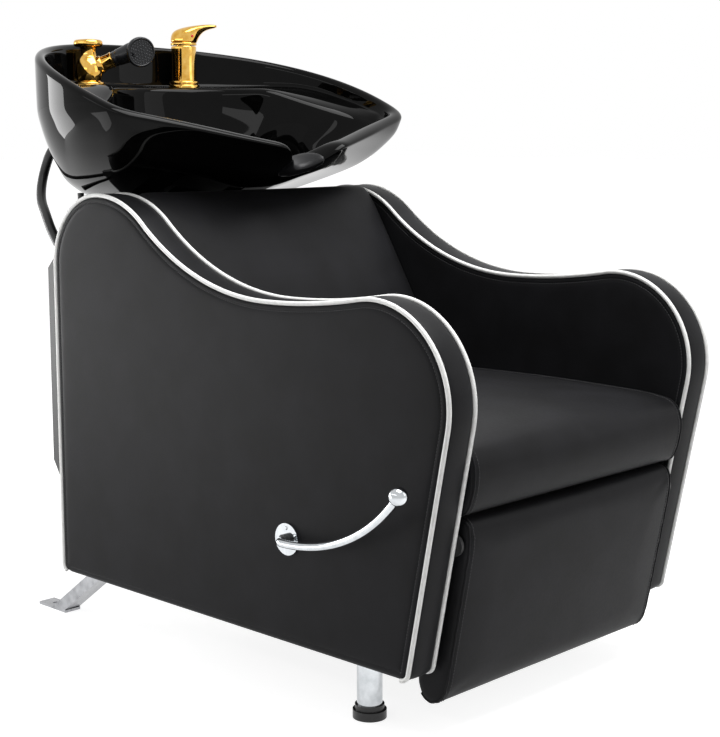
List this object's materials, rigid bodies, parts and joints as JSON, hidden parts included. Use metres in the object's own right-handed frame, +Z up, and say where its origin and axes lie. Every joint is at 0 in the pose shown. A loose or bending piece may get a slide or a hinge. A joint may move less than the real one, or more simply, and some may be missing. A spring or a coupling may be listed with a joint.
{
  "type": "salon backwash unit",
  "caption": "Padded salon wash chair with scrolled arms, lever leg rest and a tilting glazed bowl with mixer and hand spray.",
  "frame": {"origin": "on the floor, midway between the anchor holes of the two rear feet", "axes": "+Z up, +Y from the sitter's feet to the bowl, +X to the sitter's left"},
  "size_m": [0.7529, 1.1739, 1.1044],
  "materials": {
    "upholstery": "smooth satin leathercloth",
    "welt": "smooth white piping",
    "plywood": "raw plywood",
    "black_steel": "black powder coat",
    "bright_steel": "satin steel",
    "chrome": "polished",
    "foot_plastic": "moulded",
    "casing_black": "satin black",
    "ceramic": "gloss black glaze",
    "gold": "polished",
    "spray_black": "moulded",
    "rubber": "smooth",
    "drain_plastic": "moulded"
  },
  "bodies": {
    "root": {"access_panel": "casing_black", "arm_core_left": "plywood", "arm_core_right": "plywood", "arm_edge_band_left": "upholstery", "arm_edge_band_right": "upholstery", "arm_inner_pad_left": "upholstery", "arm_inner_pad_right": "upholstery", "arm_outer_pad_left": "upholstery", "arm_outer_pad_right": "upholstery", "arm_welt_inner_left": "welt", "arm_welt_inner_right": "welt", "arm_welt_outer_left": "welt", "arm_welt_outer_right": "welt", "back_board": "plywood", "back_cushion": "upholstery", "base_frame": "black_steel", "bowl_column": "black_steel", "feed_hose": "rubber", "front_leg_left": "chrome", "front_leg_right": "chrome", "lever_rosette": "chrome", "pivot_pins": "black_steel", "rear_casing": "casing_black", "rear_leg_left": "bright_steel", "rear_leg_right": "bright_steel", "rosette_screws": "chrome", "seat_board": "plywood", "seat_cushion": "upholstery", "shaft_bearings": "black_steel", "spray_hose": "rubber", "tilt_bolt": "black_steel", "tilt_bracket": "black_steel"},
    "legrest": {"legrest_cushion": "upholstery", "legrest_board": "plywood", "legrest_pivot_tube": "black_steel", "legrest_horns": "black_steel"},
    "lever": {"torque_shaft": "black_steel", "cranks": "black_steel", "crank_pins": "black_steel", "lever_rod": "chrome", "lever_ball": "chrome"},
    "links": {"drive_link_left": "black_steel", "drive_link_right": "black_steel"},
    "bowl_unit": {"bowl": "ceramic", "neck_pad": "rubber", "drain_strainer": "gold", "drain_tailpiece": "drain_plastic", "drain_locknut": "drain_plastic", "bowl_cradle": "black_steel", "mixer_base": "gold", "mixer_body": "gold", "spray_holder": "gold", "holder_cap": "gold"},
    "mixer_turn": {"mixer_cartridge": "gold"},
    "mixer_lever": {"mixer_handle": "gold"},
    "sprayer": {"sprayer_grip": "spray_black", "sprayer_head": "spray_black"},
    "foot_right": {"front_foot_right": "foot_plastic"},
    "foot_left": {"front_foot_left": "foot_plastic"}
  },
  "joints": [
    {"name": "legrest_fold", "type": "hinge", "parent": "root", "child": "legrest", "pos_m": [0, -1, 0.308], "axis": [-1, 0, 0], "range_deg": [0, 70]},
    {"name": "lever_turn", "type": "hinge", "parent": "root", "child": "lever", "pos_m": [0, -0.723, 0.278], "axis": [-1, 0, 0], "range_deg": [0, 70]},
    {"name": "link_pivot", "type": "hinge", "parent": "lever", "child": "links", "pos_m": [0, -0.668, 0.233], "axis": [-1, 0, 0], "range_deg": [-70, 0]},
    {"name": "bowl_tilt", "type": "hinge", "parent": "root", "child": "bowl_unit", "pos_m": [0, -0.08, 0.723], "axis": [-1, 0, 0], "range_deg": [0, 10], "deforming": ["spray_hose", "feed_hose"]},
    {"name": "mixer_swivel", "type": "hinge", "parent": "bowl_unit", "child": "mixer_turn", "pos_m": [0.108, 0.036, 1.062], "axis": [0, 0, 1], "range_deg": [-45, 45]},
    {"name": "mixer_lift", "type": "hinge", "parent": "mixer_turn", "child": "mixer_lever", "pos_m": [0.09133, 0.05326, 1.0624], "axis": [-0.7193, -0.6947, 0], "range_deg": [0, 20]},
    {"name": "sprayer_pull", "type": "slide", "parent": "bowl_unit", "child": "sprayer", "axis": [0.6441, -0.667, 0.3746], "range_m": [0, 0.08]},
    {"name": "foot_right_level", "type": "slide", "parent": "root", "child": "foot_right", "axis": [0, 0, -1], "range_m": [0, 0.01]},
    {"name": "foot_left_level", "type": "slide", "parent": "root", "child": "foot_left", "axis": [0, 0, -1], "range_m": [0, 0.01]}
  ],
  "couplings": [
    {"joint": "lever_turn", "follows": "legrest_fold", "ratio": 1},
    {"joint": "link_pivot", "follows": "legrest_fold", "ratio": -1}
  ]
}
